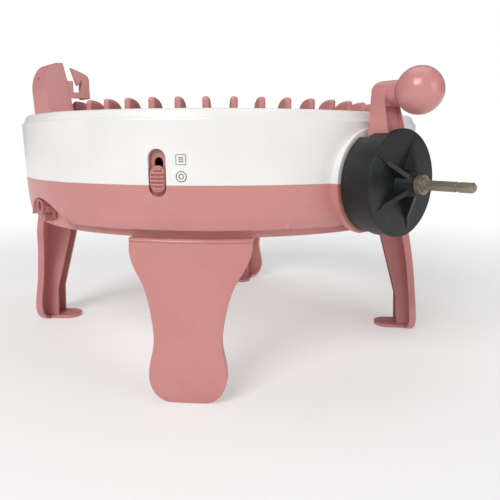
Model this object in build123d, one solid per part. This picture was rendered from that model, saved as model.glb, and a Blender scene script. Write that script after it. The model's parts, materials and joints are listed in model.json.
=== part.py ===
from build123d import *
import os
from math import acos, cos, pi, radians, sin, sqrt, tan

os.makedirs("parts", exist_ok=True)

# Circular knitting machine, millimetres and degrees. The origin is on the needle cylinder's
# axis at table level, +Z up. Each piece is drawn at the front, where outward is -Y and across
# is +X, and is then turned to its azimuth: 0 is the front, positive is anticlockwise from above.

# --- Overall sizes ---
needle_count = 48
bed_r = 147.8            # outer face of the needle cylinder
bed_wall = 16.8          # radial thickness of the cylinder
deck_width = 27.2        # cylinder face to the outside of the housing
leg_height = 111.1       # table to the underside of the pan
pan_step = 5.5           # recessed ring between the pan and the skirt
skirt_height = 30.3      # lower shell above the step
band_height = 49.0       # upper shell, parting line to deck

# --- Housing ---
wall = 2.4
floor_t = 2.8
lip_height = 5.9
lip_inset = 4.6
parting_draft = 0.7
skirt_inset = 4.1
pan_inset = 10.4
sleeve_r = 128.0         # opening in the pan that the fabric drops through
deck_gap = 2.2           # turning cylinder to the deck's edge
run_gap = 0.6            # general gap between turning and fixed pieces
fit_gap = 0.2            # pieces that slip together by hand
tongue_height = 4.0
post_r = 3.4
post_count = 8
screw_r = 1.5
head_r = 2.8
head_h = 1.8
screw_recess = 2.2      # shell screw heads above the skirt's lower edge
pilot_gap = 0.05

# --- Needle cylinder and needles ---
fin_t = 5.0
fin_height = 9.2         # fin tips above the deck
fin_nose = 2.2
fin_round = 2.1
fin_phase = 3.5          # azimuth of one fin from the crank's
bed_top_drop = 8.0       # top of the cylinder wall below the deck
needle_t = 2.4
needle_depth = 6.0
needle_gap = 0.2
needle_length = 48.0
needle_drop = 0.6        # hook tops above the deck are negative, below are positive
butt_length = 5.0
butt_height = 4.0
cam_ring_wall = 8.0
cam_lift = 6.0
cam_flange = 6.0
guide_head_r = 2.4
latch_t = 0.8

# --- Gears and crank ---
gear_teeth = 120
pinion_teeth = 12
tooth_face = 9.5
tooth_start = 2.5        # inner end of the teeth, from the cylinder's face
pressure_angle = 25.0
backlash = 0.15
crank_az = 45.0
boss_r = 37.8
boss_proud = 1.5
shaft_r = 4.0
shaft_flat = 0.8
shaft_gap = 0.06
bush_wall = 3.5
crank_throw = 60.5
crank_gap = 2.0
hub_r = 32.5
hub_depth = 19.0
arm_top_r = 8.0
arm_foot_half = 12.5
arm_top_depth = 11.5
knob_r = 15.5
pin_r = 3.5

# --- Drill adapter and bit ---
cup_gap = 0.6
cup_wall = 2.6
cup_face_t = 3.0
cup_lip = 1.1
spigot_r = 8.0
spigot_length = 11.8
rib_count = 5
rib_t = 3.4
rib_phase = -1.5
drive_af = 9.5
drive_gap = 0.1
hex_af = 6.35
hex_length = 33.2
collar_r = 6.5
collar_length = 6.2

# --- Mode switch ---
switch_az = -6.3
slot_width = 12.0
slot_low = 139.5 - 146.9     # slot ends, from the parting line
slot_high = 170.4 - 146.9
slider_width = 10.5
slider_height = 17.3
slider_low = 142.4 - 146.9
switch_travel = 9.0
stem_width = 5.0

# --- Yarn guide, side socket and legs ---
guide_az = -44.0
guide_base = 30.0
guide_top = 14.0
guide_wall = 2.2
socket_az = -47.0
notch_az = -46.0
notch_half = 38.5
notch_height = 16.4
leg_half_top = 42.0
leg_straight = 8.0
leg_waist = 23.2
leg_bulge = 26.6
leg_foot = 13.5
leg_skin = 2.4
leg_flange = 6.0
foot_t = 3.0
foot_length = 33.0

# --- Places worked out from the sizes above ---
ring_r = bed_r + deck_width
pan_z = leg_height
skirt_z = pan_z + pan_step
parting_z = skirt_z + skirt_height
rim_z = parting_z + band_height
flange_z = rim_z - lip_height
floor_z = pan_z + floor_t
ledge_z = skirt_z + wall
crank_z = parting_z
parting_r = ring_r - parting_draft
skirt_r = ring_r - skirt_inset
pan_r = ring_r - pan_inset
inner_r = parting_r - wall
post_d = inner_r - post_r + 0.6
bed_inner_r = bed_r - bed_wall
deck_r = bed_r + deck_gap
deck_under = rim_z - wall
bed_top = rim_z - bed_top_drop
fin_top = rim_z + fin_height

tooth_in = bed_r + tooth_start
tooth_out = tooth_in + tooth_face
gear_r = (tooth_in + tooth_out) / 2
pinion_r = gear_r * pinion_teeth / gear_teeth
gear_module = 2 * gear_r / gear_teeth
addendum = 0.8 * gear_module
dedendum = 1.05 * gear_module
gear_plate_top = crank_z - pinion_r - dedendum - 4.0
gear_plate_t = 3.0
gear_low = floor_z + 1.6

cam_inner_r = deck_r - fit_gap
cam_outer_r = cam_inner_r + cam_ring_wall
cam_low = crank_z + pinion_r + addendum + 2.5
butt_z = (cam_low + deck_under) / 2
needle_r = bed_r - 0.4
needle_top = rim_z - needle_drop
needle_low = needle_top - needle_length

boss_face = ring_r + boss_proud
bush_r = shaft_r + bush_wall
bush_in = tooth_out + 1.4
hub_in = boss_face + crank_gap
hub_out = hub_in + hub_depth
shaft_in = tooth_in - 1.3
shaft_out = hub_in + 7.5
knob_d = hub_in + 32.5
stem_end = knob_d - sqrt(knob_r**2 - arm_top_r**2) - run_gap
cup_in = hub_in - 0.7
cup_r = hub_r + cup_gap + cup_wall
cup_back = hub_out + 1.3
cup_out = cup_back + cup_face_t
spigot_out = cup_out + spigot_length


def turned(*corners):
    """Solid of revolution about the machine's axis, from (radius, height) corners."""
    outline = Polyline(*[(r, 0, z) for r, z in corners], close=True)
    return revolve(make_face(outline), Axis.Z)


def rod(radius, near, far, height=crank_z, across=0.0):
    """Round bar that points outward, from one distance off the machine's axis to another."""
    bar = Cylinder(radius, far - near, align=(Align.CENTER, Align.CENTER, Align.MIN))
    return Pos(across, -near, height) * Rot(90, 0, 0) * bar


def block(width, near, far, low, high, across=0.0):
    """Box across the front, between two distances off the axis and two heights."""
    box = Box(width, far - near, high - low, align=(Align.CENTER, Align.MAX, Align.MIN))
    return Pos(across, -near, low) * box


def side_plate(corners, thickness, across=0.0):
    """Upright radial plate from (distance, height) corners."""
    outline = Polyline(*[(across - thickness / 2, -d, z) for d, z in corners], close=True)
    return extrude(make_face(outline), thickness, dir=(1, 0, 0))


def radial_solid(outline, width, across=0.0):
    """Upright radial plate from a curve drawn in (distance, height)."""
    face = Rot(90, 0, 0) * make_face(outline)
    plate = extrude(face, width / 2, dir=(0, 1, 0), both=True)
    return Pos(across, 0, 0) * Rot(0, 0, -90) * plate


def front_prism(face, near, far):
    """Face drawn in (across, height), pushed outward between two distances."""
    return Pos(0, -near, 0) * Rot(90, 0, 0) * extrude(face, far - near)


def upright(face, low, high):
    """Face drawn in plan, extruded between two heights."""
    return Pos(0, 0, low) * extrude(face, high - low)


def around(part, count, start=0.0):
    """Copies of a part at even azimuths."""
    return [Rot(0, 0, start + 360 * i / count) * part for i in range(count)]


def pin_screw(length, radius=screw_r, head=head_r, head_height=head_h):
    """Pan-head screw pointing up +Z, its head below z = 0, with a cross recess."""
    shank = Cylinder(radius, length, align=(Align.CENTER, Align.CENTER, Align.MIN))
    cap = Cylinder(head, head_height, align=(Align.CENTER, Align.CENTER, Align.MAX))
    screw = shank + cap
    for turn in (0, 90):
        slot = Box(1.3 * head, 0.25 * head, 0.5 * head_height, align=(Align.CENTER, Align.CENTER, Align.MIN))
        screw -= Pos(0, 0, -head_height) * Rot(0, 0, turn) * slot
    return screw


def boss_hole(radius):
    """Cutter for a hole along the crank's axis through the boss and its ribs."""
    return Rot(0, 0, crank_az) * rod(radius, bush_in + 2.5, boss_face + 5)


def crank_boss():
    """Round boss on the housing wall, open behind, that carries the crank's bush."""
    cup = rod(boss_r, ring_r - 30, boss_face) - rod(boss_r - wall, ring_r - 31, boss_face - wall)
    cup = cup - Cylinder(inner_r, 2 * rim_z)
    rib = block(2 * bush_r + 14, pan_r, pan_r + 2.6, skirt_z + 0.5, deck_under + 0.5)
    rib_room = rod(bush_r + fit_gap, pan_r - 1, pan_r + 5)
    return Rot(0, 0, crank_az) * cup, Rot(0, 0, crank_az) * (rib - rib_room)


def switch_opening():
    """Cutter for the round-ended slot of the mode switch."""
    slot = Pos(0, parting_z + (slot_low + slot_high) / 2) * SlotOverall(
        slot_high - slot_low, slot_width, rotation=90)
    return Rot(0, 0, switch_az) * front_prism(slot, inner_r - 5, ring_r + 5)


def shell_posts(low, high, radius):
    """Round posts inside the wall that take the shell screws."""
    post = Pos(0, -post_d, low) * Cylinder(
        radius, high - low, align=(Align.CENTER, Align.CENTER, Align.MIN))
    return around(post, post_count, 180 / post_count)


def upper_shell():
    """White band, sloped lip and flat deck round the needle cylinder."""
    shell = turned(
        (parting_r, parting_z),
        (ring_r, flange_z - 1.4),
        (ring_r - 0.35, flange_z - 0.4),
        (ring_r - 1.2, flange_z),
        (ring_r - lip_inset + 1.2, rim_z - 1.5),
        (ring_r - lip_inset + 0.4, rim_z - 0.5),
        (ring_r - lip_inset - 0.8, rim_z),
        (deck_r + 0.8, rim_z),
        (deck_r, rim_z - 0.8),
        (deck_r, deck_under),
        (ring_r - lip_inset - 1.2, deck_under),
        (ring_r - wall, flange_z - 2),
        (inner_r, parting_z),
    )
    boss, rib = crank_boss()
    above = Pos(0, 0, parting_z) * Cylinder(
        2 * ring_r, band_height * 2, align=(Align.CENTER, Align.CENTER, Align.MIN))
    shell = shell - Rot(0, 0, crank_az) * rod(boss_r - wall, ring_r - 25, boss_face - wall)
    shell = shell + (boss & above) + (rib & above)
    shell = shell + shell_posts(parting_z, parting_z + 22, post_r)
    shell = shell - shell_posts(parting_z - 1, parting_z + 18, screw_r + pilot_gap)
    shell = shell - boss_hole(bush_r + pilot_gap)
    shell = shell - around(cam_screw_way(), 6, 15)
    return shell - switch_opening() - guide_ways() - track_ways()


def notch_cutter(near, far, grow=0.0):
    """Prism of the arch in the skirt."""
    half = notch_half + grow
    top = skirt_z + notch_height + grow
    low = skirt_z - 0.001
    arch = Spline((-half, low), (-0.57 * half, low + 0.66 * (top - low)), (0, top),
                  (0.57 * half, low + 0.66 * (top - low)), (half, low))
    face = make_face(arch + Line((half, low), (-half, low)))
    return Rot(0, 0, notch_az) * front_prism(face, near, far)


def lower_shell():
    """Pink skirt, recessed pan and fabric sleeve, with the arch-shaped alcove on one side."""
    shell = turned(
        (sleeve_r, pan_z),
        (pan_r, pan_z),
        (pan_r, skirt_z),
        (skirt_r - 0.6, skirt_z),
        (skirt_r, skirt_z + 0.6),
        (skirt_r + 1.9, skirt_z + 7),
        (parting_r - 0.4, skirt_z + 17),
        (parting_r, parting_z),
        (inner_r, parting_z),
        (inner_r, skirt_z + 17),
        (skirt_r - 0.5, ledge_z + 4),
        (skirt_r - 2.5, ledge_z),
        (pan_r - wall, ledge_z),
        (pan_r - wall, floor_z),
        (bed_inner_r - run_gap, floor_z),
        (bed_inner_r - run_gap, gear_plate_top),
        (sleeve_r, gear_plate_top),
    )
    tongue_out = inner_r - fit_gap
    tongue = turned(
        (tongue_out, parting_z + tongue_height),
        (tongue_out - 1.6, parting_z + tongue_height),
        (tongue_out - 1.6, parting_z - 6),
        (inner_r + 0.8, parting_z - 6),
        (inner_r + 0.8, parting_z - 0.5),
        (tongue_out, parting_z - 0.5),
    )
    shell = shell + tongue
    boss, rib = crank_boss()
    below = Pos(0, 0, parting_z) * Cylinder(
        2 * ring_r, parting_z - pan_z, align=(Align.CENTER, Align.CENTER, Align.MAX))
    boss_room = rod(boss_r - wall, ring_r - 25, boss_face - wall)
    boss_room = boss_room - Pos(0, 0, ledge_z) * Box(
        4 * ring_r, 4 * ring_r, 200, align=(Align.CENTER, Align.CENTER, Align.MAX))
    shell = shell - Rot(0, 0, crank_az) * boss_room
    shell = shell + (boss & below) + (rib & below)
    shell = shell - tongue_gaps()
    shell = shell + shell_posts(skirt_z + 0.5, parting_z, post_r)
    shell = shell - shell_posts(pan_z, parting_z + 1, screw_r + 0.25)
    shell = shell - shell_posts(pan_z, skirt_z + screw_recess, head_r + fit_gap)
    # Alcove behind the arch: the pan's ring carries on up as its back wall.
    room = notch_cutter(pan_r - notch_half / 2, ring_r + 5)
    hood = notch_cutter(pan_r - notch_half / 2, ring_r + 2, wall) & turned(
        (pan_r - wall, skirt_z), (inner_r + 0.6, skirt_z), (inner_r + 0.6, parting_z), (pan_r - wall, parting_z))
    shell = shell + hood
    shell = shell - (room - Cylinder(pan_r, 2 * rim_z))
    shell = shell - boss_hole(bush_r + pilot_gap)
    for leg in range(4):
        shell = shell - Rot(0, 0, 90 * leg) * leg_ways()
    bearing_rib = turned(
        (gear_rib_r - 1.2, floor_z - 0.2), (gear_rib_r + 1.2, floor_z - 0.2),
        (gear_rib_r + 1.2, gear_low - run_gap / 2), (gear_rib_r - 1.2, gear_low - run_gap / 2))
    shell = shell + bearing_rib
    return shell - switch_opening() - socket_way()


def tongue_gaps():
    """Room in the tongue for the posts, the crank boss and the switch."""
    low = parting_z
    gap = block(4 * post_r, inner_r - 6, inner_r + 0.4, low, parting_z + tongue_height + 1)
    gaps = around(gap, post_count, 180 / post_count)
    boss_gap = block(2 * boss_r + 2, inner_r - 14, inner_r + 0.4, low, parting_z + tongue_height + 1)
    switch_gap = block(28, inner_r - 8, inner_r + 0.4, parting_z - 8, parting_z + tongue_height + 1)
    return gaps + [Rot(0, 0, crank_az) * boss_gap, Rot(0, 0, switch_az) * switch_gap]


gear_rib_r = (bed_inner_r + bed_r) / 2 + 1


def fin():
    """One fin of the cylinder: upright outside, its top curving down to the inside."""
    low = bed_top - 3
    shoulder = bed_top + 5
    inner = bed_inner_r + 0.4
    side = Line((bed_r, low), (bed_r, fin_top - fin_nose))
    side += TangentArc((bed_r, fin_top - fin_nose), (bed_r - fin_nose, fin_top), tangent=(0, 1))
    side += Spline((bed_r - fin_nose, fin_top), (inner, shoulder), tangents=[(-1, 0), (0, -1)])
    side += Line((inner, shoulder), (inner, low))
    side += Line((inner, low), (bed_r, low))
    plate = radial_solid(side, fin_t)
    rims = [e for e in plate.edges() if e.center().Z > shoulder + 2 and abs(abs(e.center().X) - fin_t / 2) < 0.01]
    return fillet(rims, fin_round)


def needle_slot():
    """Cutter for one needle's groove in the outside of the cylinder."""
    width = needle_t + 2 * needle_gap
    return block(width, needle_r - needle_depth - needle_gap, bed_r + 1, needle_low - 3, rim_z + 20)


def needle_cylinder():
    """Turning cylinder with a groove for each needle and a fin between each two."""
    pitch = 360 / needle_count
    body = turned(
        (bed_inner_r, gear_plate_top),
        (bed_r, gear_plate_top),
        (bed_r, bed_top - 0.6),
        (bed_r - 0.6, bed_top),
        (bed_inner_r + 0.6, bed_top),
        (bed_inner_r, bed_top - 0.6),
    )
    body = body + around(fin(), needle_count, crank_az + fin_phase)
    body = body - around(needle_slot(), needle_count, crank_az + fin_phase + pitch / 2)
    hole = Pos(0, -gear_screw_r, gear_plate_top - 1) * Cylinder(
        screw_r + pilot_gap, 10, align=(Align.CENTER, Align.CENTER, Align.MIN))
    return body - around(hole, 6, 10)


gear_screw_r = bed_inner_r + 5.0


def crown_tooth():
    """One tooth of the ring gear: straight flanks that run to the point where the axes cross."""
    def section(distance):
        grow = distance / gear_r
        corners = []
        for height, side in ((-dedendum - 0.6, -1), (addendum, -1), (addendum, 1), (-dedendum - 0.6, 1)):
            half = pi * gear_module / 4 - backlash - height * tan(radians(pressure_angle))
            corners.append((side * half * grow, -distance, crank_z - (pinion_r - height) * grow))
        return make_face(Polyline(*corners, close=True))
    return loft([section(tooth_in), section(tooth_out)], ruled=True)


def ring_gear():
    """Ring gear screwed under the cylinder, teeth up, with ribs beneath that slide on the pan."""
    def root(distance):
        return crank_z - (pinion_r + dedendum) * distance / gear_r
    rim_in = tooth_in - 0.8
    rim_out = tooth_out + 0.7
    body = turned(
        (bed_inner_r, gear_low + 3.5),
        (bed_inner_r + 2.2, gear_low + 3.5),
        (bed_inner_r + 2.2, gear_plate_top - gear_plate_t),
        (gear_rib_r - 1.4, gear_plate_top - gear_plate_t),
        (gear_rib_r - 1.4, gear_low),
        (gear_rib_r + 1.4, gear_low),
        (gear_rib_r + 1.4, gear_plate_top - gear_plate_t),
        (rim_out - 2.4, gear_plate_top - gear_plate_t),
        (rim_out - 2.4, gear_low + 1),
        (rim_out, gear_low + 1),
        (rim_out, root(rim_out)),
        (rim_in, root(rim_in)),
        (rim_in, gear_plate_top),
        (bed_inner_r, gear_plate_top),
    )
    body = body + around(crown_tooth(), gear_teeth, crank_az + 180 / gear_teeth)
    hole = Pos(0, -gear_screw_r, gear_low) * Cylinder(
        screw_r + 0.25, 30, align=(Align.CENTER, Align.CENTER, Align.MIN))
    body = body - around(hole, 6, 10)
    lug = block(8, rim_out - 1, rim_out + 1.2, root(rim_out) - 6, root(rim_out) - 0.5)
    return body + Rot(0, 0, 120) * lug


def needle(marker=False):
    """Latch needle: flat shank in its groove, butt in the cam track, hook facing outward."""
    back = needle_r - needle_depth
    corners = [
        (back, needle_low),
        (needle_r - 1.5, needle_low),
        (needle_r, needle_low + 1.5),
        (needle_r, butt_z - butt_height / 2),
        (needle_r + butt_length, butt_z - butt_height / 2 + 0.5),
        (needle_r + butt_length, butt_z + butt_height / 2 - 0.5),
        (needle_r, butt_z + butt_height / 2),
        (needle_r, needle_top - 10.5),
        (needle_r - 2.2, needle_top - 8.8),
        (needle_r - 2.4, needle_top - 3.6),
        (needle_r - 1.6, needle_top - 2.2),
        (needle_r - 0.8, needle_top - 3.6),
        (needle_r + 0.4, needle_top - 4.2),
        (needle_r + 0.6, needle_top - 1.8),
        (needle_r - 0.9, needle_top),
        (needle_r - 3.2, needle_top),
        (back + 0.9, needle_top - 1.8),
        (back, needle_top - 4),
    ]
    return side_plate(corners, needle_t)


def needle_latch():
    """Small latch that swings on the needle below its hook, drawn open."""
    corners = [
        (needle_r - 0.3, needle_top - 9.4),
        (needle_r + 0.4, needle_top - 10.2),
        (needle_r + 1.3, needle_top - 9.9),
        (needle_r + 1.4, needle_top - 5.6),
        (needle_r + 0.7, needle_top - 5.2),
        (needle_r - 0.1, needle_top - 6.0),
    ]
    return side_plate(corners, latch_t)


def needle_set(piece):
    """All the copies of a needle piece but the marker's, which is the first."""
    pitch = 360 / needle_count
    return around(piece, needle_count, crank_az + fin_phase + pitch / 2)[1:]


def cam_track():
    """Cutter for the cam ring's track: a level run, with a rise and a dip at the feeder."""
    deep = needle_r + butt_length + 0.8
    low = butt_z - butt_height / 2 - 0.5
    high = butt_z + butt_height / 2 + 0.5
    level = turned((cam_inner_r - 1, low), (deep, low), (deep, high), (cam_inner_r - 1, high))
    wave = Polyline((-34, low), (-16, high + cam_lift), (0, high + cam_lift), (14, low - cam_lift),
                    (20, low - cam_lift), (34, high), close=True)
    branch = Rot(0, 0, guide_az) * front_prism(make_face(wave), cam_inner_r - 12, cam_inner_r + 20)
    return level + (branch & turned((cam_inner_r - 1, cam_low + 2), (deep, cam_low + 2),
                                    (deep, deck_under - 2), (cam_inner_r - 1, deck_under - 2)))


def cam_screw_way():
    """Cutter for one cam screw's pilot hole in the underside of the deck."""
    return Pos(0, -(cam_outer_r + cam_flange / 2), deck_under - 1) * Cylinder(
        screw_r + pilot_gap, 2.2, align=(Align.CENTER, Align.CENTER, Align.MIN))


def cam_ring():
    """Fixed ring under the deck whose track carries the needle butts."""
    ring = turned(
        (cam_inner_r, cam_low), (cam_outer_r, cam_low), (cam_outer_r, deck_under - 3),
        (cam_outer_r + cam_flange, deck_under - 3), (cam_outer_r + cam_flange, deck_under), (cam_inner_r, deck_under))
    ring = ring - cam_track()
    hole = Pos(0, -(cam_outer_r + cam_flange / 2), cam_low) * Cylinder(
        screw_r + 0.25, 60, align=(Align.CENTER, Align.CENTER, Align.MIN))
    return ring - around(hole, 6, 15)


def cam_screws():
    """Screws that hold the cam ring up under the deck."""
    screw = Pos(0, -(cam_outer_r + cam_flange / 2), deck_under - 3) * pin_screw(4.0)
    return around(screw, 6, 15)


def gear_screws():
    """Screws that hold the ring gear under the cylinder."""
    screw = Pos(0, -gear_screw_r, gear_plate_top - gear_plate_t) * pin_screw(10)
    return around(screw, 6, 10)


def shell_screws():
    """Screws up through the skirt's posts into the band's."""
    screw = Pos(0, -post_d, skirt_z + screw_recess) * pin_screw(skirt_height + 14)
    return around(screw, post_count, 180 / post_count)


def gear_blank_profile(distance):
    """Cross-section of the pinion at a distance off the machine's axis, with involute flanks."""
    grow = distance / gear_r
    base = pinion_r * cos(radians(pressure_angle))
    tip = pinion_r + addendum
    root = pinion_r - dedendum
    flank_steps = 4

    def involute(radius):
        angle = acos(min(1.0, base / radius))
        return tan(angle) - angle

    half_pitch = pi / (2 * pinion_teeth) - backlash / pinion_r + involute(pinion_r)
    flank = [(root, half_pitch)]
    for step in range(flank_steps + 1):
        radius = base + (tip - base) * step / flank_steps
        flank.append((radius, half_pitch - involute(radius)))
    tooth = [(r, -a) for r, a in flank] + [(r, a) for r, a in reversed(flank)]
    corners = []
    for k in range(pinion_teeth):
        middle = -pi / 2 + 2 * pi * k / pinion_teeth
        for radius, angle in tooth:
            around_axis = middle + angle
            corners.append((radius * grow * cos(around_axis), -distance, crank_z + radius * grow * sin(around_axis)))
    return make_face(Polyline(*corners, close=True))


def shaft_bar(radius, near, far, flat):
    """Round bar along the crank's axis with one flat on top."""
    bar = rod(radius, near, far)
    return bar - block(4 * radius, near - 1, far + 1, crank_z + radius - flat, crank_z + 2 * radius)


def pinion():
    """Small bevel gear on the inner end of the crank shaft."""
    gear = loft([gear_blank_profile(tooth_in), gear_blank_profile(tooth_out)], ruled=True)
    return gear - shaft_bar(shaft_r + 0.05, tooth_in - 1, tooth_out + 1, shaft_flat)


def crank_shaft():
    """Steel shaft with a flat for the pinion and one for the crank, and a clip groove."""
    shaft = rod(shaft_r, shaft_in, shaft_out)
    high = crank_z + 2 * shaft_r
    shaft = shaft - block(20, shaft_in - 1, tooth_out + 0.3, crank_z + shaft_r - shaft_flat, high)
    shaft = shaft - block(20, hub_in - 0.3, shaft_out + 1, crank_z + shaft_r - shaft_flat, high)
    groove = rod(shaft_r + 1, tooth_in - 0.9, tooth_in - 0.1) - rod(shaft_r - 0.7, tooth_in - 2, tooth_in + 1)
    return shaft - groove - rod(screw_r + pilot_gap, shaft_out - 10, shaft_out + 1)


def shaft_clip():
    """Spring clip in the shaft's groove that keeps the pinion on."""
    clip = rod(shaft_r + 2.4, tooth_in - 0.85, tooth_in - 0.15) - rod(shaft_r - 0.68, tooth_in - 2, tooth_in + 1)
    return clip - block(4.4, tooth_in - 2, tooth_in + 1, crank_z - 20, crank_z)


def shaft_bush():
    """Flanged sleeve clamped between the two shells, in which the shaft turns."""
    bush = rod(bush_r, bush_in, boss_face + 0.8) + rod(bush_r + 1.8, bush_in, bush_in + 1.8)
    return bush - rod(shaft_r + shaft_gap, bush_in - 1, boss_face + 2)


def arm_blank():
    """Arm and stem outline: round top about the knob's axis, wider towards the hub."""
    top = crank_z + crank_throw
    wide = Polyline((-arm_foot_half, crank_z), (-arm_top_r, top), (arm_top_r, top), (arm_foot_half, crank_z), close=True)
    front = make_face(wide) + Pos(0, top) * Circle(arm_top_r)
    side = side_plate([
        (hub_in, crank_z),
        (hub_in, top + arm_top_r - 4.5),
        (hub_in + 1.3, top + arm_top_r - 1.4),
        (hub_in + 4.2, top + arm_top_r),
        (hub_in + arm_top_depth + 2, top + arm_top_r),
        (hub_in + arm_top_depth, top - arm_top_r + 1.5),
        (hub_out - 0.8, crank_z + 28),
        (hub_out - 0.8, crank_z),
    ], 80)
    return front_prism(front, hub_in - 1, hub_out + 1) & side


def crank_arm():
    """Crank: cored round hub, arm with a channel down its outer face, stem for the knob."""
    top = crank_z + crank_throw
    arm = arm_blank()
    channel = side_plate([
        (hub_in + arm_top_depth - 2.4, top - arm_top_r - 1),
        (hub_in + arm_top_depth + 9, top - arm_top_r - 1),
        (hub_out + 9, crank_z + hub_r - 1),
        (hub_out - 4.2, crank_z + hub_r - 1),
    ], 2 * arm_top_r + 0.4)
    arm = arm - channel
    hub = rod(hub_r, hub_in, hub_out)
    hub = fillet(hub.edges().filter_by(GeomType.CIRCLE).sort_by(Axis.Y)[0], 1.2)
    core = rod(hub_r - 2.6, hub_in - 1, hub_out - 3) - rod(shaft_r + 4.5, hub_in - 2, hub_out)
    stem = rod(arm_top_r, hub_in + 5, stem_end, top)
    body = arm + hub + stem
    for turn in (30, 90, 150):
        web = Pos(0, -hub_in - 1.5, crank_z) * Rot(0, turn, 0) * Box(
            2 * hub_r, hub_depth, 1.8, align=(Align.CENTER, Align.MAX, Align.CENTER))
        core = core - web
    body = body - core
    body = body - shaft_bar(shaft_r + 0.05, hub_in - 1, shaft_out + 0.3, shaft_flat)
    body = body - rod(screw_r + 0.25, shaft_out - 1, hub_out + 1) - rod(head_r + 1.4, hub_out - 3.6, hub_out + 1)
    return body - rod(pin_r + 0.02, hub_in + 5.5, stem_end + 1, top)


def crank_screw():
    """Screw through the hub into the end of the shaft."""
    screw = pin_screw(hub_out - 3.6 - shaft_out + 8, head=head_r + 1.0)
    return Pos(0, -(hub_out - 3.6), crank_z) * Rot(-90, 0, 0) * screw


def knob_pin():
    """Steel pin fixed in the stem, with a bead that holds the knob on."""
    top = crank_z + crank_throw
    return rod(pin_r, hub_in + 5.6, knob_d + 5.5, top) + rod(pin_r + 0.7, knob_d + 0.8, knob_d + 2.6, top)


def crank_knob():
    """Ball knob that turns on its pin."""
    top = crank_z + crank_throw
    face = stem_end + 0.4
    ball = Pos(0, -knob_d, top) * Rot(90, 0, 0) * Sphere(knob_r)
    ball = ball - rod(knob_r, knob_d - 2 * knob_r, face, top)
    bore = rod(pin_r + 0.08, face - 1, knob_d + 6, top) + rod(pin_r + 0.8, knob_d + 0.6, knob_d + 2.8, top)
    return ball - bore


def drill_adapter():
    """Printed cup over the crank's hub, cut away for the arm, with a ribbed spigot for the bit."""
    back_r = cup_r
    front_r = cup_r + cup_lip
    step = (cup_in + cup_out) / 2 - 2
    cup = rod(back_r, cup_in, cup_out) + rod(front_r, step, cup_out)
    rims = [e for e in cup.edges().filter_by(GeomType.CIRCLE) if abs(e.center().Y + cup_out) < 0.01]
    cup = fillet(rims, 0.8)
    cup = cup - rod(hub_r + cup_gap, cup_in - 1, cup_back)
    gate = block(2 * arm_foot_half + 5, cup_in - 1, cup_back, crank_z + 20, crank_z + 60)
    gate_back = block(2 * arm_foot_half + 10, cup_in - 1, step - 3, crank_z + 20, crank_z + 60)
    cup = cup - gate - gate_back
    taper = Cone(spigot_r + 1.8, spigot_r, spigot_length + 1, align=(Align.CENTER, Align.CENTER, Align.MIN))
    cup = cup + Pos(0, -(cup_out - 1), crank_z) * Rot(90, 0, 0) * taper
    for k in range(rib_count):
        rib = side_plate([
            (cup_out - 1, 0), (cup_out - 1, 0.93 * front_r), (cup_out, 0.93 * front_r),
            (cup_out + 1.2, 0.66 * front_r), (spigot_out - 2.5, spigot_r + 0.3), (spigot_out - 2.5, 0)], rib_t)
        cup = cup + Pos(0, 0, crank_z) * Rot(0, 90 - (rib_phase + 360 * k / rib_count), 0) * rib
    drive = drive_af + 2 * drive_gap
    return cup - block(drive, cup_back + 1, spigot_out + 1, crank_z - drive / 2, crank_z + drive / 2)


def hex_bar(flats, near, far):
    """Hexagonal bar along the crank's axis."""
    bar = extrude(RegularPolygon(flats / 2, 6, major_radius=False), far - near)
    return Pos(0, -near, crank_z) * Rot(90, 0, 0) * bar


def hex_bit():
    """Steel bit: square drive with a ball hole, collar, hex shank with a groove and a pointed end."""
    drive_in = cup_back + 1.7
    collar = spigot_out + 0.4
    hex_in = collar + collar_length
    hex_out = hex_in + hex_length
    drive = block(drive_af, drive_in, collar + 1, crank_z - drive_af / 2, crank_z + drive_af / 2)
    bit = drive & rod(0.66 * drive_af, drive_in - 1, collar + 2)
    bit = bit + rod(collar_r, collar, collar + 4.6) + rod(collar_r - 1.6, collar, hex_in)
    tip_r = hex_af / 2 / cos(radians(30)) + 0.02
    point = Cone(tip_r, tip_r - 1.6, 1.8, align=(Align.CENTER, Align.CENTER, Align.MIN))
    envelope = rod(tip_r, hex_in - 1, hex_out - 1.8) + Pos(0, -(hex_out - 1.8), crank_z) * Rot(90, 0, 0) * point
    shank = hex_bar(hex_af, hex_in - 0.5, hex_out) & envelope
    groove = rod(hex_af, hex_out - 12.2, hex_out - 9.6) - rod(hex_af / 2 - 0.45, hex_out - 13, hex_out - 9)
    hole_z = crank_z + drive_af / 2
    hole = Pos(0, -ball_d, hole_z - 6) * Cylinder(ball_r + 0.1, 12, align=(Align.CENTER, Align.CENTER, Align.MIN))
    return bit + (shank - groove) - hole


ball_r = 1.6
ball_d = (cup_back + spigot_out) / 2


def detent_ball():
    """Steel ball that holds the bit in the adapter."""
    return Pos(0, -ball_d, crank_z + drive_af / 2 + 0.06 - ball_r) * Sphere(ball_r)


def detent_spring():
    """Coil spring that pushes the detent ball out."""
    wire = 0.22
    low = crank_z + drive_af / 2 - 5.9
    high = crank_z + drive_af / 2 - 2 * ball_r - 0.1
    path = Helix(pitch=0.75, height=high - low - 2 * wire, radius=ball_r - 0.35)
    profile = Plane(origin=path @ 0, z_dir=path % 0) * Circle(wire)
    return Pos(0, -ball_d, low + wire) * sweep(profile, path=path)


def slider_middle():
    return parting_z + slider_low + slider_height / 2


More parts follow.
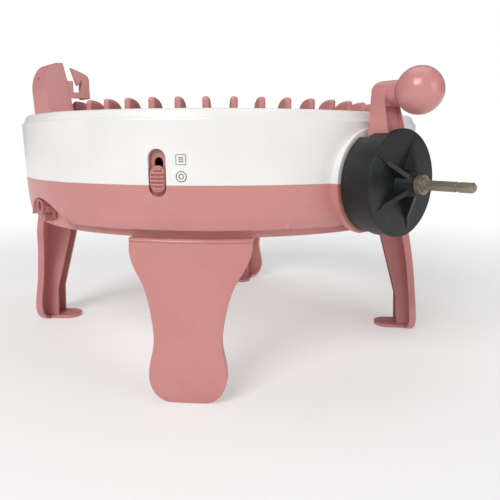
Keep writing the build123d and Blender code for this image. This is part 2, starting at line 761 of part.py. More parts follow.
def switch_slider():
    """Ribbed thumb piece of the mode switch, with a stem through the guide plate."""
    middle = slider_middle()
    face_in = inner_r - 0.9
    pad = front_prism(Pos(0, middle) * SlotOverall(slider_height, slider_width, rotation=90), face_in, face_in + 2.6)
    for k in range(6):
        height = middle + 2.5 * (k - 2.5)
        half = slider_width / 2 - (0.5 if abs(k - 2.5) < 2 else 2.4)
        pad = pad + block(2 * half, face_in + 2, face_in + 4.0, height - 0.55, height + 0.55)
    stem = block(stem_width, face_in - 5.6, face_in + 0.5, middle - 2.5, middle + 2.5)
    return pad + stem - rod(1.05, face_in - 6, face_in - 0.5, middle)


def track_span():
    """Heights of the guide plate's ends."""
    return parting_z + slot_low - 3.5, parting_z + slot_high + 9.5


def switch_track():
    """Guide plate behind the slot, with the narrow slot that the slider's stem runs in."""
    low, high = track_span()
    back = inner_r - 3.4
    plate = block(24, back, back + 2.0, low, high)
    middle = slider_middle()
    slot_bottom = middle - stem_width / 2 - 0.6
    slot_top = middle + switch_travel + stem_width / 2 + 2.4
    run = Pos(0, (slot_bottom + slot_top) / 2) * SlotOverall(
        slot_top - slot_bottom, stem_width + 0.8, rotation=90)
    foot = Pos(0, slot_bottom + 2) * Rectangle(stem_width + 0.8, 4)
    plate = plate - front_prism(run, back - 1, back + 3) - front_prism(foot, back - 1, back + 3)
    for across in (-7.5, 7.5):
        plate = plate - rod(screw_r + 0.1, back - 1, back + 3, high - 4, across)
    return plate


def track_ways():
    """Cutter for the pilot holes of the guide plate's screws; they stop short of the outside."""
    low, high = track_span()
    holes = [rod(screw_r + pilot_gap, inner_r - 2, inner_r + 1.2, high - 4, across) for across in (-7.5, 7.5)]
    return Rot(0, 0, switch_az) * (holes[0] + holes[1])


def track_screws():
    """Two short screws that hold the guide plate to the band."""
    low, high = track_span()
    screws = []
    for across in (-7.5, 7.5):
        screws.append(Pos(across, -(inner_r - 3.4), high - 4) * Rot(90, 0, 0) * pin_screw(4.2, head=2.4, head_height=1.4))
    return screws


def stop_pawl():
    """Pawl behind the guide plate; raised, it stands level with the ring gear's lug."""
    middle = slider_middle()
    back = inner_r - 0.9 - 5.7
    tip_low = ledge_z + 1.2
    leg = block(6, back - 2.2, back, tip_low, middle + 4)
    tip_in = tooth_out + 0.7 + 1.2 + 0.5
    tip = block(6, tip_in, back, tip_low, tip_low + 4.5)
    return leg + tip - rod(1.3, back - 4, back + 1, middle)


def switch_screw():
    """Small screw that joins the pawl to the slider's stem."""
    back = inner_r - 0.9 - 5.7 - 2.2
    return Pos(0, -back, slider_middle()) * Rot(90, 0, 0) * pin_screw(6, radius=1.0, head=2.0, head_height=1.2)


def hood_outline(shrink=0.0):
    """Upright outline of the yarn guide's hood in (distance, height)."""
    base = rim_z
    out = ring_r - lip_inset - 1.0 - shrink
    return (
        Line((out, base), (out + 2.0, base + 15.5))
        + Spline((out + 2.0, base + 15.5), (out - 0.6, base + 29.5 - shrink), (out - 8.0, base + 34.8 - shrink),
                 tangents=[(0.05, 1), (-1, 0.12)])
        + Line((out - 8.0, base + 34.8 - shrink), (out - 11.6, base + 34.9 - shrink))
        + Line((out - 11.6, base + 34.9 - shrink), (out - 14.2, base + 23.5))
        + Line((out - 14.2, base + 23.5), (deck_r + 1.2, base))
        + Line((deck_r + 1.2, base), (out, base))
    )


def hood_taper(spread):
    """Wedge, wide at the deck and narrow at the top, that trims the yarn guide."""
    high = rim_z + 35
    face = make_face(Polyline((-guide_base / 2 - spread, rim_z - 1), (-guide_top / 2 - spread, high),
                              (guide_base / 2, high), (guide_base / 2, rim_z - 1), close=True))
    return front_prism(face, bed_inner_r - 10, ring_r + 10)


def yarn_guide_hood():
    """Outer hood of the yarn guide: curved back, end plate towards the crank, eyelet, two feet."""
    solid = radial_solid(hood_outline(), 2 * guide_base) & hood_taper(0)
    cavity = Pos(-guide_wall, guide_wall, -0.001) * (
        radial_solid(hood_outline(), 2 * guide_base) & hood_taper(0))
    hood = solid - cavity
    eyelet = rod(1.3, ring_r - 20, ring_r + 5, rim_z + 24, 2)
    foot = block(guide_base - 5, deck_r + 5, ring_r - lip_inset - 2, rim_z, rim_z + 2.2)
    hood = hood + foot - eyelet
    for across in (-8, 8):
        hole = Pos(across, -guide_screw_d, rim_z - 1) * Cylinder(
            screw_r + pilot_gap, 8, align=(Align.CENTER, Align.CENTER, Align.MIN))
        boss = Pos(across, -guide_screw_d, rim_z) * Cylinder(
            3.2, 6, align=(Align.CENTER, Align.CENTER, Align.MIN))
        hood = hood + boss - hole
    return hood


guide_screw_d = cam_outer_r + cam_flange + guide_head_r + fit_gap


def guide_ways():
    """Clearance holes in the deck for the yarn guide's screws."""
    holes = []
    for across in (-8, 8):
        hole = Pos(across, -guide_screw_d, deck_under - 1) * Cylinder(
            screw_r + 0.25, 2 * wall, align=(Align.CENTER, Align.CENTER, Align.MIN))
        holes.append(Rot(0, 0, guide_az) * hole)
    return holes


def guide_screws():
    """Screws up through the deck into the yarn guide."""
    screws = []
    for across in (-8, 8):
        screws.append(Pos(across, -guide_screw_d, deck_under) * pin_screw(8, head=guide_head_r))
    return screws


def yarn_feeder():
    """Inner fin of the yarn guide, over the needles, with its yarn slit and the bridge to the hood."""
    low = fin_top + 1.6
    inner = bed_inner_r + 7.3
    tip_d = bed_r + 4.0
    high = rim_z + 32
    outline = (
        Line((tip_d, high), (inner + 9.2, low + 9))
        + Line((inner + 9.2, low + 9), (inner + 6.4, low + 13))
        + Line((inner + 6.4, low + 13), (inner + 5.4, low + 12.2))
        + Line((inner + 5.4, low + 12.2), (inner + 7.0, low + 5.0))
        + Line((inner + 7.0, low + 5.0), (inner + 10, low))
        + Line((inner + 10, low), (inner, low))
        + Line((inner, low), (inner, low + 13))
        + Spline((inner, low + 13), (inner + 4.5, high - 3.2), (tip_d, high),
                 tangents=[(0.02, 1), (1, 0.35)])
    )
    fin_plate = radial_solid(outline, 3.0, guide_base / 2 - 1.5)
    rail = block(14, inner, inner + 2.2, low, low + 13, guide_base / 2 - 7)
    end = ring_r - lip_inset - 1.0 - 14.2
    bridge = block(3.0, inner + 1, end + 0.5, low, low + 4.2, guide_base / 2 - 1.5)
    arch = block(9, inner + 12.5, end - 0.4, low + 4, low + 12, guide_base / 2 - 4.5)
    return fin_plate + rail + (bridge + arch - hood_room())


def hood_room():
    """Cutter that trims the feeder's bridge to the hood's inner edge."""
    return radial_solid(hood_outline(), 4 * guide_base)


def socket_way():
    """Pilot hole for the side socket's screw in the alcove's back wall."""
    return Rot(0, 0, socket_az) * rod(1.25, pan_r - 5, pan_r + 1, skirt_z + 2.4)


def side_socket():
    """Small moulded socket in the alcove: flange, tube with a rounded hole, tab below."""
    middle = skirt_z + 9.4
    tube = front_prism(Pos(0, middle) * RectangleRounded(13.5, 11, 4), pan_r + 0.2, ring_r - 1.6)
    hole = front_prism(Pos(0, middle + 0.6) * RectangleRounded(7.4, 7.0, 2.6), pan_r + 1.5, ring_r + 1)
    flange = front_prism(Pos(-9.0, middle - 2) * RectangleRounded(6.5, 11, 2.4), pan_r + 0.2, ring_r - 4.5)
    plate = block(24, pan_r + 0.2, pan_r + 2.2, skirt_z + 0.6, skirt_z + 8)
    lug = front_prism(Pos(8.5, middle - 1.5) * RectangleRounded(6, 4.4, 1.5), pan_r + 0.2, pan_r + 6)
    tab = front_prism(Pos(0, skirt_z + 1.6) * RectangleRounded(9.5, 7.5, 2), pan_r + 0.2, pan_r + 7)
    body = tube + flange + plate + lug + tab - hole
    return body - rod(1.25, pan_r - 1, pan_r + 6.5, skirt_z + 2.4)


def socket_screw():
    """Screw that holds the side socket from inside the pan."""
    return Pos(0, -(pan_r - wall - 0.05), skirt_z + 2.4) * Rot(90, 0, 0) * pin_screw(7, radius=1.2, head=2.2, head_height=1.2)


def leg_outline(inset=0.0):
    """Front outline of a leg: wide top, narrow waist, round foot."""
    top = leg_height - inset
    knee = leg_height - leg_straight
    bulge_z = 20.0
    half = Spline(
        (leg_half_top - inset, knee), (0.77 * leg_half_top - inset, 0.74 * leg_height),
        (leg_waist + 1.2 - inset, 0.51 * leg_height), (leg_waist - inset, 0.37 * leg_height),
        (leg_bulge - inset, bulge_z), tangents=[(-0.12, -1), (0, -1)])
    corner = Spline(
        (leg_bulge - inset, bulge_z), (leg_bulge - 4 - inset, 7 + 0.6 * inset), (leg_foot - inset, inset),
        tangents=[(0, -1), (-1, -0.35)])
    right = Line((leg_half_top - inset, top), (leg_half_top - inset, knee)) + half + corner
    left = right.mirror(Plane.YZ)
    closed = right + left + Line((-leg_foot + inset, inset), (leg_foot - inset, inset))
    closed += Line((-leg_half_top + inset, top), (leg_half_top - inset, top))
    return make_face(closed)


def leg_shell(outer, inner):
    """Curved slab that follows the housing's round, between two depths behind the leg's face."""
    top = pan_r + 6.4
    face = [(top, leg_height), (top + 7.0, 0.685 * leg_height), (top + 12.2, 0.35 * leg_height),
            (top + 14.0, 0.17 * leg_height), (top + 13.4, 4.0), (top + 11.5, 0)]
    curve = Spline(*[(r - outer, 0, z) for r, z in face])
    back = Spline(*[(r - inner, 0, z) for r, z in reversed(face)])
    outline = curve + Line(curve @ 1, back @ 0) + back + Line(back @ 1, curve @ 0)
    slab = revolve(make_face(outline), Axis.Z, 50)
    return Rot(0, 0, -90 - 25) * slab


def leg():
    """Leg moulding: curved skin, inward flange round its edge, two ribs, foot and top plate."""
    paddle = leg_shell(0, leg_flange) & front_prism(leg_outline(), pan_r - 60, ring_r + 40)
    room = leg_shell(leg_skin, leg_flange + 3) & front_prism(leg_outline(leg_skin), pan_r - 60, ring_r + 40)
    body = paddle - room
    top = pan_r + 6.4
    rib_room = leg_shell(0.5, 80)
    for across in (-8.5, 8.5):
        rib = side_plate([
            (pan_r - 14, leg_height), (pan_r - 12.6, 0.78 * leg_height), (pan_r + 3.2, 0.27 * leg_height),
            (pan_r + 4.4, 1.0), (ring_r + 20, 1.0), (ring_r + 20, leg_height)], 2.2, across)
        body = body + (rib & rib_room)
    plate = Rot(0, 0, -90 - 25) * revolve(make_face(Polyline(
        (pan_r - 16, 0, leg_height - 2.4), (top + 0.9, 0, leg_height - 2.4), (top + 1.3, 0, leg_height - 1.6),
        (top + 0.9, 0, leg_height - 0.6), (pan_r, 0, leg_height), (pan_r - 16, 0, leg_height), close=True)), Axis.Z, 50)
    limit = block(2 * leg_half_top, pan_r - 40, ring_r + 20, 0, leg_height + 1)
    body = body + (plate & limit)
    foot_near = top + 13.0 - foot_length
    foot = Pos(0, -(foot_near + 10)) * Circle(leg_foot - 1.5) + Pos(0, -(foot_near + 10 + 8)) * Rectangle(2 * leg_foot - 3, 16)
    foot_pad = upright(foot, 0, foot_t) & leg_shell(0.5, 80)
    body = body + foot_pad
    for across in (-22, 22):
        tongue = block(12, leg_tongue_d, leg_tongue_d + 3, leg_height - 1, floor_z)
        barb = block(12, leg_tongue_d, leg_tongue_d + 3.9, floor_z + 0.05, floor_z + 1.0)
        body = body + Pos(across, 0, 0) * (tongue + block(12, leg_tongue_d, leg_tongue_d + 3, floor_z - 1, floor_z + 1) + barb)
    return body


leg_tongue_d = pan_r - 17


def leg_ways():
    """Slots in the pan for one leg's snap tongues."""
    first = block(12.6, leg_tongue_d - 0.3, leg_tongue_d + 4.2, pan_z - 1, floor_z + 0.5, -22)
    return first + block(12.6, leg_tongue_d - 0.3, leg_tongue_d + 4.2, pan_z - 1, floor_z + 0.5, 22)


def write(name, shape, azimuth=0.0):
    """Turn a piece to its azimuth and write its STEP file."""
    solids = []
    for item in (shape if isinstance(shape, list) else [shape]):
        solids.extend((Rot(0, 0, azimuth) * item).solids())
    export_step(solids[0] if len(solids) == 1 else Compound(children=solids), f"parts/{name}.step")


write("upper_shell", upper_shell())
write("lower_shell", lower_shell())
one_leg = leg()
for leg_name, leg_az in (("leg_front", 0), ("leg_right", 90), ("leg_rear", 180), ("leg_left", 270)):
    write(leg_name, one_leg, leg_az)
write("cam_ring", cam_ring())
write("cam_screws", cam_screws())
write("shell_screws", shell_screws())
write("shaft_bush", shaft_bush(), crank_az)
write("switch_track", switch_track(), switch_az)
write("track_screws", track_screws(), switch_az)
write("yarn_guide_hood", yarn_guide_hood(), guide_az)
write("yarn_feeder", yarn_feeder(), guide_az)
write("guide_screws", guide_screws(), guide_az)
write("side_socket", side_socket(), socket_az)
write("socket_screw", socket_screw(), socket_az)

write("needle_cylinder", needle_cylinder())
write("ring_gear", ring_gear())
write("gear_screws", gear_screws())
write("needles", needle_set(needle()))
write("needle_latches", needle_set(needle_latch()))
marker_az = crank_az + fin_phase + 180 / needle_count
write("marker_needle", needle(), marker_az)
write("marker_latch", needle_latch(), marker_az)

write("crank_shaft", crank_shaft(), crank_az)
write("pinion", pinion(), crank_az)
write("shaft_clip", shaft_clip(), crank_az)
write("crank_arm", crank_arm(), crank_az)
write("crank_screw", crank_screw(), crank_az)
write("knob_pin", knob_pin(), crank_az)
write("crank_knob", crank_knob(), crank_az)

write("drill_adapter", drill_adapter(), crank_az)
write("hex_bit", hex_bit(), crank_az)
write("detent_ball", detent_ball(), crank_az)
write("detent_spring", detent_spring(), crank_az)

write("switch_slider", switch_slider(), switch_az)
write("stop_pawl", stop_pawl(), switch_az)
write("switch_screw", switch_screw(), switch_az)
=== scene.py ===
import json
from math import cos, radians, sin, tau

import bpy
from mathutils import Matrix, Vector


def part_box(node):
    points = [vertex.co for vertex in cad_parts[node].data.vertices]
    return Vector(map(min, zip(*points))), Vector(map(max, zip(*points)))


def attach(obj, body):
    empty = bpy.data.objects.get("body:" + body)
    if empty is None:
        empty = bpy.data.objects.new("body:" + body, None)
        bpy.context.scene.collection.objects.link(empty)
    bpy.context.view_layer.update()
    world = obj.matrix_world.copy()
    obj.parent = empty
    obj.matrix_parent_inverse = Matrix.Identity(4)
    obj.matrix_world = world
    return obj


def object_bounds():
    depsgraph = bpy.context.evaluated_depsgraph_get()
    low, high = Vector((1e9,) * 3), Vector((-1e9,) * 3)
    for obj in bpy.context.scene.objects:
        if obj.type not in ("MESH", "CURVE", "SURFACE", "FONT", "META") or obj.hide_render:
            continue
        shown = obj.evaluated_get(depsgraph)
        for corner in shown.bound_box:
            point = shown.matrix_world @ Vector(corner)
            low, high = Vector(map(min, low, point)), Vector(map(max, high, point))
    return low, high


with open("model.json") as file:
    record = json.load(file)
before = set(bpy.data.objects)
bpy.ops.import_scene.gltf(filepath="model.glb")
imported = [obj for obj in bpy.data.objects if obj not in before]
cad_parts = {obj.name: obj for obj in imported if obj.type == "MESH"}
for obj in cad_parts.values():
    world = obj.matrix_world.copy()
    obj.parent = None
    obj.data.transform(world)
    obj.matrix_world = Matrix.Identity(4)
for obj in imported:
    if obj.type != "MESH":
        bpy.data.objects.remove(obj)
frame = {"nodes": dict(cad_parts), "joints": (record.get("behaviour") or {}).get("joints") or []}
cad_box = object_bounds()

# --- Upper shell -------------------------------------------------------------------------------
# The band, sloped lip and flat deck are one injection moulding in white ABS. It is snapped and
# screwed down onto the lower shell, and its gloss comes straight from the polished mould.

SHELL_WHITE = "#E9E8E6"
ABS_IOR = 1.54
MM = 0.001


def linear(srgb_hex):
    """The linear colour that a shader socket takes, from an sRGB hex value."""
    channels = [int(srgb_hex[i:i + 2], 16) / 255 for i in (1, 3, 5)]
    return [c / 12.92 if c <= 0.04045 else ((c + 0.055) / 1.055) ** 2.4 for c in channels] + [1.0]


def add(tree, kind, sockets=(), links=(), **settings):
    """Adds one node, with its settings, its socket values and the outputs that feed it."""
    node = tree.nodes.new(kind)
    for name, value in settings.items():
        setattr(node, name, value)
    for socket, value in dict(sockets).items():
        node.inputs[socket].default_value = value
    for socket, output in dict(links).items():
        tree.links.new(output, node.inputs[socket])
    return node


def new_material(name, srgb_hex, **principled):
    """A material with a Principled shader; returns it, its tree, the shader and object coordinates."""
    material = bpy.data.materials.new(name)
    material.use_nodes = True
    tree = material.node_tree
    shader = tree.nodes["Principled BSDF"]
    shader.inputs["Base Color"].default_value = linear(srgb_hex)
    for socket, value in principled.items():
        shader.inputs[socket.replace("_", " ")].default_value = value
    material.diffuse_color = linear(srgb_hex)
    place = add(tree, "ShaderNodeTexCoord").outputs["Object"]
    return material, tree, shader, place


def two_tones(tree, source, dark_hex, light_hex, dark_end, light_end):
    """A colour that runs from dark to light as the source value rises between two ends."""
    ramp = add(tree, "ShaderNodeValToRGB", links={"Fac": source})
    ends = ((dark_end, dark_hex), (light_end, light_hex))
    for stop, (position, colour) in zip(ramp.color_ramp.elements, ends):
        stop.position = position
        stop.color = linear(colour)
    return ramp.outputs["Color"]


def moulded(tree, shader, place, light_hex, dark_hex, grain_mm, flow_mm, rough, corner_mm):
    """Moulded plastic: faint flow shading, uneven gloss, fine mould grain, softly rounded edges."""
    flow = add(tree, "ShaderNodeTexNoise", {"Scale": 1 / (flow_mm * MM), "Detail": 3, "Roughness": 0.55},
               {"Vector": place})
    tint = two_tones(tree, flow.outputs["Fac"], dark_hex, light_hex, 0.35, 0.68)
    tree.links.new(tint, shader.inputs["Base Color"])
    gloss = add(tree, "ShaderNodeMapRange", {"To Min": rough * 0.86, "To Max": rough * 1.16},
                {"Value": flow.outputs["Fac"]})
    tree.links.new(gloss.outputs["Result"], shader.inputs["Roughness"])
    grain = add(tree, "ShaderNodeTexNoise", {"Scale": 1 / (grain_mm * MM), "Detail": 2},
                {"Vector": place})
    edge = add(tree, "ShaderNodeBevel", {"Radius": corner_mm * MM}, samples=4)
    bump = add(tree, "ShaderNodeBump", {"Strength": 0.12, "Distance": 0.02 * MM},
               {"Height": grain.outputs["Fac"], "Normal": edge.outputs["Normal"]})
    tree.links.new(bump.outputs["Normal"], shader.inputs["Normal"])


def finish_in(material, *names):
    """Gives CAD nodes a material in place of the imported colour."""
    for name in names:
        piece = frame["nodes"][name]
        piece.data.materials.clear()
        piece.data.materials.append(material)


# White ABS: a clean, slightly cool white with a soft satin gloss from the polished mould.
white_abs, tree, shader, place = new_material("white_abs", SHELL_WHITE, IOR=ABS_IOR)
moulded(tree, shader, place, "#ECEBE9", "#E6E5E3", grain_mm=0.8, flow_mm=45, rough=0.30, corner_mm=0.7)
finish_in(white_abs, "upper_shell")

# --- Lower shell and legs ----------------------------------------------------------------------
# The skirt with its pan, and the four legs that snap up into it, are moulded in dusty-pink ABS.
# The legs are curved paddles with an inward flange, ribbed behind and ending in a flat foot.

ABS_PINK = "#C88783"

# Pink ABS: dusty pink, a shade deeper where the melt flowed thin, with the mould's gloss.
pink_abs, tree, shader, place = new_material("pink_abs", ABS_PINK, IOR=ABS_IOR)
moulded(tree, shader, place, "#CA8985", "#C4837F", grain_mm=0.8, flow_mm=38, rough=0.34, corner_mm=0.8)
finish_in(pink_abs, "lower_shell", "leg_front", "leg_right", "leg_rear", "leg_left")

# --- Side socket -------------------------------------------------------------------------------
# A small separate moulding in the arch-shaped alcove of the skirt, fixed by one screw from inside.
# It comes from a duller, darker batch of the same plastic.

dull_pink_abs, tree, shader, place = new_material("dull_pink_abs", "#B87673", IOR=ABS_IOR)
moulded(tree, shader, place, "#B8736F", "#AC6864", grain_mm=0.8, flow_mm=20, rough=0.45, corner_mm=0.5)
finish_in(dull_pink_abs, "side_socket")

# --- Needle cylinder ---------------------------------------------------------------------------
# The turning cylinder is a deep pink moulding with a groove for each needle, and a round-topped
# fin between each two that keeps the yarn in line.

finish_in(pink_abs, "needle_cylinder")

# --- Needles, gears and bush -------------------------------------------------------------------
# Needles, latches, gears, cam ring, bush and pawl are natural acetal: milky white and slippery.
# One needle is dark, to mark where a row starts.

# Natural acetal: milky, faintly warm white with a waxy sheen.
acetal, tree, shader, place = new_material("natural_acetal", "#E9E6DE", IOR=1.48)
moulded(tree, shader, place, "#ECE9E1", "#E3DFD5", grain_mm=0.6, flow_mm=15, rough=0.38, corner_mm=0.3)
finish_in(acetal, "needles", "needle_latches", "cam_ring", "ring_gear", "pinion", "shaft_bush",
          "stop_pawl")

# Dyed acetal: near-black with the same waxy sheen.
dark_acetal, tree, shader, place = new_material("dyed_acetal", "#232224", IOR=1.48)
moulded(tree, shader, place, "#28272A", "#1E1D1F", grain_mm=0.6, flow_mm=15, rough=0.38, corner_mm=0.3)
finish_in(dark_acetal, "marker_needle", "marker_latch")

# --- Yarn guide and mode switch ----------------------------------------------------------------
# The yarn guide's hood and feeder fin, the switch's guide plate and its ribbed thumb piece are
# all the same pink ABS as the lower shell.

finish_in(pink_abs, "yarn_guide_hood", "yarn_feeder", "switch_track", "switch_slider")

# Pad-printed marks beside the switch: a square with a flat swatch, and a circle with a tube.
MARK_GREY = "#5E5E60"
MARK_LINE = 0.55 * MM
MARK_PROUD = 0.06 * MM
MARK_AZIMUTH = radians(-1.0)
BAND_TOP_BELOW_DECK = 7.3 * MM
BAND_DRAFT = 0.7 * MM
SQUARE_HALF = 3.2 * MM
RING_OUTER = 3.3 * MM
RING_INNER = 1.5 * MM
SQUARE_ABOVE_PARTING = 16.6 * MM
RING_ABOVE_PARTING = 5.8 * MM


def band_radius(height):
    """Radius of the white band, which widens a little from the parting line up."""
    low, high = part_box("upper_shell")
    flange = high.z - BAND_TOP_BELOW_DECK
    return high.x - BAND_DRAFT * (flange - height) / (flange - low.z)


def printed_line(points, closed, middle):
    """Vertices and quads of one inked line through (across, up) points about a middle height."""
    count = len(points)
    verts, faces = [], []
    for i, (across, up) in enumerate(points):
        before = Vector(points[i - 1] if closed or i else points[0])
        after = Vector(points[(i + 1) % count] if closed or i < count - 1 else points[i])
        along = (after - before).normalized()
        side = Vector((-along.y, along.x)) * MARK_LINE / 2
        for sign in (-1, 1):
            spot = Vector((across, up)) + sign * side
            height = middle + spot.y
            radius = band_radius(height)
            azimuth = MARK_AZIMUTH + spot.x / radius
            reach = radius + MARK_PROUD
            verts.append((reach * sin(azimuth), -reach * cos(azimuth), height))
    for i in range(count if closed else count - 1):
        j = (i + 1) % count
        faces.append((2 * i, 2 * i + 1, 2 * j + 1, 2 * j))
    return verts, faces


def ring_points(radius, steps=40):
    """Points round a circle."""
    return [(radius * cos(tau * i / steps), radius * sin(tau * i / steps)) for i in range(steps)]


def add_mark(name, height, lines):
    """One printed mark as a thin mesh on the band."""
    verts, faces = [], []
    for points, closed in lines:
        new_verts, new_faces = printed_line(points, closed, height)
        start = len(verts)
        verts += new_verts
        faces += [tuple(start + i for i in face) for face in new_faces]
    mesh = bpy.data.meshes.new(name)
    mesh.from_pydata(verts, [], faces)
    mark = bpy.data.objects.new(name, mesh)
    bpy.context.collection.objects.link(mark)
    mark.data.materials.append(mark_ink)
    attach(mark, "base")


# Pad-print ink: flat mid grey, thin and matt on the glossy shell.
mark_ink, tree, shader, place = new_material("pad_print_ink", MARK_GREY, Roughness=0.6)
specks = add(tree, "ShaderNodeTexNoise", {"Scale": 1 / (0.5 * MM), "Detail": 2}, {"Vector": place})
cover = add(tree, "ShaderNodeMapRange", {"To Min": 0.5, "To Max": 0.7}, {"Value": specks.outputs["Fac"]})
tree.links.new(cover.outputs["Result"], shader.inputs["Roughness"])

half = SQUARE_HALF
square = [(-half, -half), (half, -half), (half, half), (-half, half)]
swatch = [[(-half * 0.5, y), (half * 0.5, y)] for y in (-half * 0.4, 0, half * 0.4)]
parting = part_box("upper_shell")[0].z
add_mark("panel_mark", parting + SQUARE_ABOVE_PARTING,
         [(square, True)] + [(line, False) for line in swatch])
add_mark("tube_mark", parting + RING_ABOVE_PARTING,
         [(ring_points(RING_OUTER), True), (ring_points(RING_INNER), True)])

# --- Crank arm and knob ------------------------------------------------------------------------
# The crank is one pink moulding: a round hub, a channelled arm and a stem. The ball knob turns on
# a steel pin and is polished by the hand.

# Handled pink ABS: the same plastic, a little glossier where the mould was polished.
knob_abs, tree, shader, place = new_material("polished_pink_abs", ABS_PINK, IOR=ABS_IOR)
moulded(tree, shader, place, "#CB8A86", "#C58481", grain_mm=0.8, flow_mm=30, rough=0.24, corner_mm=0.6)
finish_in(knob_abs, "crank_knob", "crank_arm")

# --- Steel and plated pieces -------------------------------------------------------------------
# The crank shaft, knob pin and drill bit are turned steel; screws, clip and spring are zinc-plated.

# Turned steel: warm grey, satin, with fine rings left by the lathe along the crank's axis.
CRANK_AXIS = frame["joints"][1]["axis"]


def turned_metal(tree, shader, place, ring_mm, rough):
    """Fine lathe rings across the crank's axis, with uneven polish."""
    along = add(tree, "ShaderNodeVectorMath", {1: CRANK_AXIS}, {0: place}, operation="DOT_PRODUCT")
    rings = add(tree, "ShaderNodeMath", {1: tau / (ring_mm * MM)}, {0: along.outputs["Value"]},
                operation="MULTIPLY")
    wave = add(tree, "ShaderNodeMath", links={0: rings.outputs["Value"]}, operation="SINE")
    patches = add(tree, "ShaderNodeTexNoise", {"Scale": 1 / (6 * MM), "Detail": 4}, {"Vector": place})
    polish = add(tree, "ShaderNodeMapRange", {"To Min": rough * 0.75, "To Max": rough * 1.3},
                 {"Value": patches.outputs["Fac"]})
    tree.links.new(polish.outputs["Result"], shader.inputs["Roughness"])
    edge = add(tree, "ShaderNodeBevel", {"Radius": 0.3 * MM}, samples=4)
    bump = add(tree, "ShaderNodeBump", {"Strength": 0.3, "Distance": 0.02 * MM},
               {"Height": wave.outputs["Value"], "Normal": edge.outputs["Normal"]})
    tree.links.new(bump.outputs["Normal"], shader.inputs["Normal"])


turned_steel, tree, shader, place = new_material("turned_steel", "#9C9484", Metallic=1.0)
turned_metal(tree, shader, place, ring_mm=0.9, rough=0.42)
finish_in(turned_steel, "crank_shaft", "knob_pin", "hex_bit", "detent_ball")

# Zinc plate: pale, slightly blue grey, bright on the screw heads.
zinc_plate, tree, shader, place = new_material("zinc_plate", "#B4B6B9", Metallic=1.0)
turned_metal(tree, shader, place, ring_mm=0.7, rough=0.34)
finish_in(zinc_plate, "cam_screws", "shell_screws", "track_screws", "guide_screws", "socket_screw",
          "gear_screws", "shaft_clip", "crank_screw", "detent_spring", "switch_screw")

# --- Drill adapter -----------------------------------------------------------------------------
# A cup printed in black PLA that slips over the crank's hub, cut away for the arm. The layers lie
# square to the crank's axis; the face shows the short strokes of the top layer.

# Printed PLA: soot black with a grey bloom, ridged by its layers. Real layers are 0.2 mm; they are
# drawn at 1 mm so that they show.
printed_pla, tree, shader, place = new_material("printed_pla", "#141618", IOR=1.46)
along = add(tree, "ShaderNodeVectorMath", {1: CRANK_AXIS}, {0: place}, operation="DOT_PRODUCT")
layers = add(tree, "ShaderNodeMath", {1: tau / (1.0 * MM)}, {0: along.outputs["Value"]},
             operation="MULTIPLY")
ridge = add(tree, "ShaderNodeMath", links={0: layers.outputs["Value"]}, operation="SINE")
speckle = add(tree, "ShaderNodeTexNoise", {"Scale": 1 / (0.9 * MM), "Detail": 5, "Roughness": 0.7},
              {"Vector": place})
height = add(tree, "ShaderNodeMath", {1: 0.35}, {0: ridge.outputs["Value"], 2: speckle.outputs["Fac"]},
             operation="MULTIPLY_ADD")
edge = add(tree, "ShaderNodeBevel", {"Radius": 0.6 * MM}, samples=4)
bump = add(tree, "ShaderNodeBump", {"Strength": 0.7, "Distance": 0.09 * MM},
           {"Height": height.outputs["Value"], "Normal": edge.outputs["Normal"]})
tree.links.new(bump.outputs["Normal"], shader.inputs["Normal"])
bloom = add(tree, "ShaderNodeTexNoise", {"Scale": 1 / (9 * MM), "Detail": 6, "Roughness": 0.65},
            {"Vector": place})
grey = two_tones(tree, bloom.outputs["Fac"], "#101214", "#1B1E20", 0.35, 0.72)
tree.links.new(grey, shader.inputs["Base Color"])
dull = add(tree, "ShaderNodeMapRange", {"To Min": 0.34, "To Max": 0.5}, {"Value": speckle.outputs["Fac"]})
tree.links.new(dull.outputs["Result"], shader.inputs["Roughness"])
finish_in(printed_pla, "drill_adapter")

# --- Smooth shading ----------------------------------------------------------------------------
# Curved faces are shaded smooth, and edges sharper than the crease angle stay crisp.

CREASE_ANGLE = radians(28)
for piece in frame["nodes"].values():
    piece.data.shade_smooth()
    piece.data.set_sharp_from_angle(angle=CREASE_ANGLE)

# --- Floor, light and camera -------------------------------------------------------------------
# A plain white floor, partly glowing with painted light, that fades into a white backdrop, in a studio
# with a large soft light from the upper left, another overhead and a weak one on the right.

FLOOR_HALF = 6.0
bpy.ops.mesh.primitive_plane_add(size=2 * FLOOR_HALF, location=(0, 0, cad_box[0][2]))
floor = bpy.context.object
floor.name = "studio_floor"
floor_paint_and_glow, tree, shader, place = new_material("studio_floor_paint", "#FBFBFB", Roughness=0.9)
floor.data.materials.append(floor_paint_and_glow)
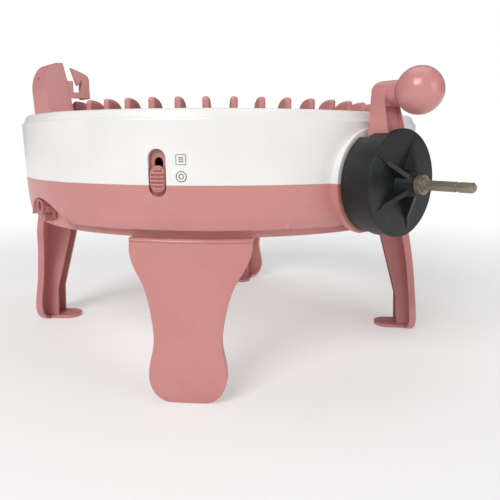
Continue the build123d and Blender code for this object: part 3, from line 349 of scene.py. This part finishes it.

# Takes soft shadows near the machine; glows with painted light, faintly there and fully white far off.
away = add(tree, "ShaderNodeVectorMath", links={"Vector": place}, operation="LENGTH")
glow_share = add(tree, "ShaderNodeMapRange", {"From Min": 0.25, "From Max": 0.9, "To Min": 0.35, "To Max": 1.0},
           {"Value": away.outputs["Value"]}, interpolation_type="SMOOTHSTEP")
# Painted light: a white glow mixed into the floor, about a third of it near the machine and all of it far
# off.
painted_floor_glow = add(tree, "ShaderNodeEmission", {"Color": linear("#FFFFFF"), "Strength": 1.0})
blend = add(tree, "ShaderNodeMixShader", links={0: glow_share.outputs["Result"], 1: shader.outputs["BSDF"],
                                                2: painted_floor_glow.outputs["Emission"]})
tree.links.new(blend.outputs["Shader"], tree.nodes["Material Output"].inputs["Surface"])

# The backdrop is white where it is seen, and lights the piece only dimly.
world = bpy.data.worlds.new("studio")
world.use_nodes = True
bpy.context.scene.world = world
seen = add(world.node_tree, "ShaderNodeLightPath").outputs["Is Camera Ray"]
level = add(world.node_tree, "ShaderNodeMapRange", {"To Min": 0.22, "To Max": 1.0}, {"Value": seen})
background = world.node_tree.nodes["Background"]
background.inputs["Color"].default_value = linear("#FFFFFF")
world.node_tree.links.new(level.outputs["Result"], background.inputs["Strength"])


def soft_light(name, position, target, size, watts):
    """A square studio light aimed at a point."""
    lamp = bpy.data.lights.new(name, "AREA")
    lamp.size = size
    lamp.energy = watts
    light = bpy.data.objects.new(name, lamp)
    light.location = position
    light.rotation_euler = (Vector(target) - Vector(position)).to_track_quat("-Z", "Y").to_euler()
    bpy.context.collection.objects.link(light)


MIDDLE = (0, 0, 0.13)
soft_light("key", (-0.6, -1.5, 1.3), MIDDLE, 0.9, 23)
soft_light("top", (0.1, 0.3, 1.8), MIDDLE, 1.6, 9)
soft_light("fill", (1.4, -1.0, 0.6), MIDDLE, 0.9, 6)

CAMERA_PLACE = Vector((0.0712, -0.5190, 0.1728))
CAMERA_AIM = Vector((-0.0848, 0.9779, -0.1911))
camera = bpy.data.objects.new("camera", bpy.data.cameras.new("camera"))
camera.data.lens = 38.88
camera.data.sensor_width = 36.0
camera.data.clip_start = 0.01
camera.location = CAMERA_PLACE
camera.rotation_euler = CAMERA_AIM.to_track_quat("-Z", "Y").to_euler()
bpy.context.collection.objects.link(camera)
bpy.context.scene.camera = camera
bpy.context.scene.view_settings.view_transform = "Standard"
